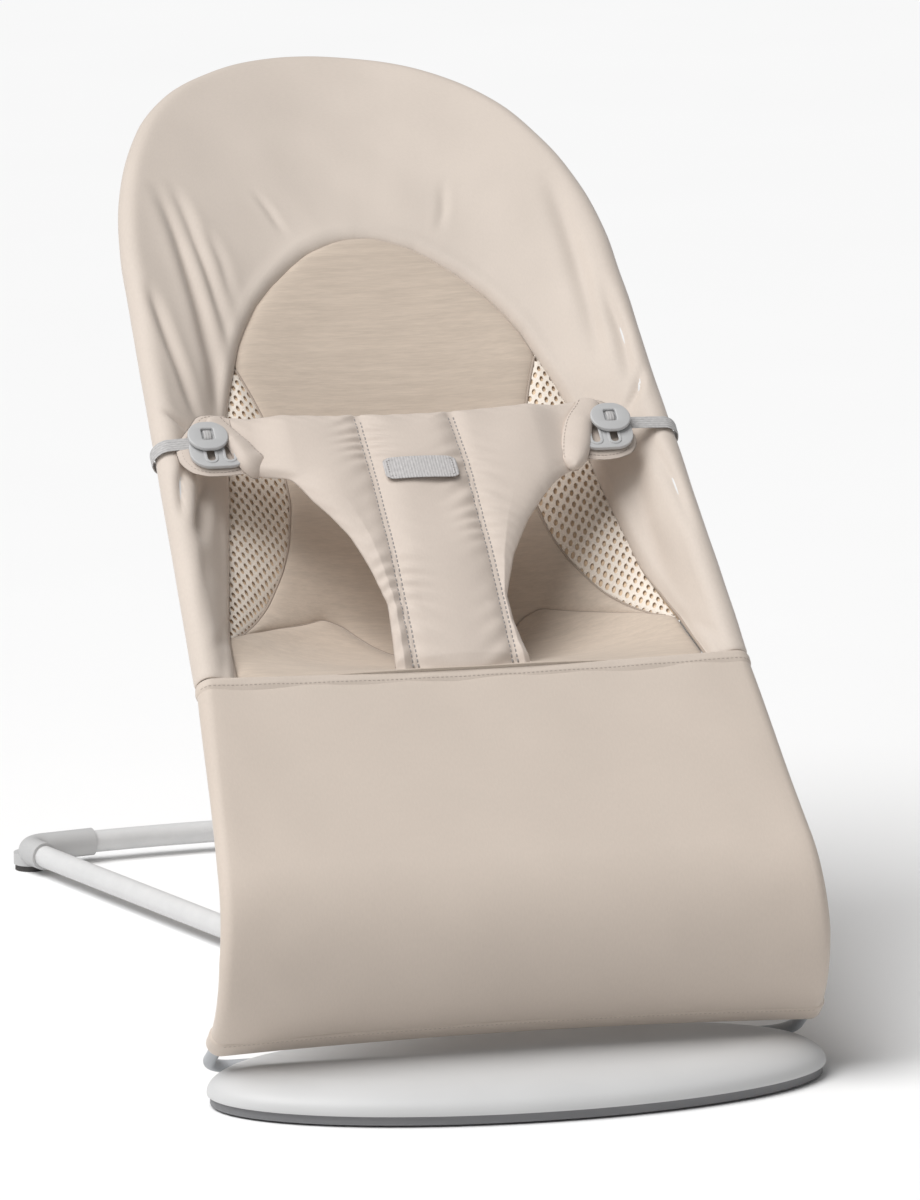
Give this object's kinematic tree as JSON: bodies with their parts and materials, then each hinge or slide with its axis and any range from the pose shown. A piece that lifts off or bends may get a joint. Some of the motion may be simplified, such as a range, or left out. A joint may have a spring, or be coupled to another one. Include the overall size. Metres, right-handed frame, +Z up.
{
  "type": "bouncer seat",
  "caption": "Baby bouncer seat: cloth sling on a spring wire and tube frame, flat front plate, tubular base, folding support bow, buttoned cloth harness.",
  "frame": {"origin": "centre of the footprint on the floor, bottom of the bounding box", "axes": "+X to the seat's right-hand side seen from the front, +Y to the rear, +Z up; the front faces -Y; symmetric about X = 0"},
  "size_m": [0.39, 0.79, 0.5616],
  "materials": {
    "grey_plastic": "light grey, fine satin grain",
    "tray_plastic": "mid grey underside moulding",
    "dark_rubber": "soft dark grey anti-slip rubber",
    "screw_steel": "zinc plated",
    "painted_tube": "very light grey powder coat",
    "spring_wire": "cool grey powder coat on spring steel",
    "cover_cloth": "pearl beige woven cotton, soft wrinkles",
    "heather_jersey": "heather beige jersey with fine streaks",
    "cream_mesh": "cream spacer mesh with oval holes",
    "label_cloth": "blank woven grey tag",
    "strap_webbing": "light grey woven elastic",
    "button_plastic": "warm grey satin plastic"
  },
  "bodies": {
    "base": {"base_plate_cover": "grey_plastic", "base_plate_tray": "tray_plastic", "plate_antislip_pads": "dark_rubber", "plate_screws": "screw_steel", "pivot_clamp_left": "grey_plastic", "pivot_clamp_right": "grey_plastic", "base_tube_left": "painted_tube", "base_tube_right": "painted_tube", "base_rear_tube": "painted_tube", "foot_elbow_left": "grey_plastic", "foot_elbow_right": "grey_plastic", "foot_sole_left": "dark_rubber", "foot_sole_right": "dark_rubber", "bow_bracket_left": "grey_plastic", "bow_bracket_right": "grey_plastic", "bracket_screws": "screw_steel"},
    "support_bow": {"support_bow": "spring_wire"},
    "seat_lower": {"lower_spring_frame": "spring_wire", "notch_rack_left": "grey_plastic", "notch_rack_right": "grey_plastic", "rack_screws": "screw_steel", "leg_panel": "cover_cloth", "leg_hem": "cover_cloth", "seam_band": "cover_cloth"},
    "seat_upper": {"upper_frame_hoop": "painted_tube", "hoop_collars": "grey_plastic", "backrest_cover": "cover_cloth", "backrest_rear_panel": "cover_cloth", "seat_pad": "heather_jersey", "seat_pad_lower": "heather_jersey", "mesh_gusset_left": "cream_mesh", "mesh_gusset_right": "cream_mesh", "harness_front": "cover_cloth", "harness_label": "label_cloth", "slotted_plate_left": "button_plastic", "slotted_plate_right": "button_plastic", "strap_left": "strap_webbing", "strap_right": "strap_webbing"},
    "toggle_left": {"toggle_left": "button_plastic"},
    "toggle_right": {"toggle_right": "button_plastic"}
  },
  "joints": [
    {"name": "seat_recline", "type": "hinge", "parent": "base", "child": "seat_lower", "pos_m": [0, -0.261, 0.014], "axis": [-1, 0, 0], "range_deg": [0, 43]},
    {"name": "support_bow_swing", "type": "hinge", "parent": "base", "child": "support_bow", "pos_m": [0, -0.185, 0.03], "axis": [-1, 0, 0], "range_deg": [0, 66.7]},
    {"name": "seat_bounce", "type": "hinge", "parent": "seat_lower", "child": "seat_upper", "pos_m": [0, -0.17749, 0.25157], "axis": [-1, 0, 0], "range_deg": [-3, 3], "stiffness_Nm_per_rad": 260, "springref_deg": -0.69},
    {"name": "toggle_left_turn", "type": "hinge", "parent": "seat_upper", "child": "toggle_left", "pos_m": [-0.1373, -0.04822, 0.36678], "axis": [0, -0.5982, 0.8013], "range_deg": [-90, 90]},
    {"name": "toggle_right_turn", "type": "hinge", "parent": "seat_upper", "child": "toggle_right", "pos_m": [0.1249, -0.04822, 0.36678], "axis": [0, -0.5982, 0.8013], "range_deg": [-90, 90]}
  ],
  "couplings": [
    {"joint": "support_bow_swing", "follows": "seat_recline", "ratio": 1.55}
  ]
}
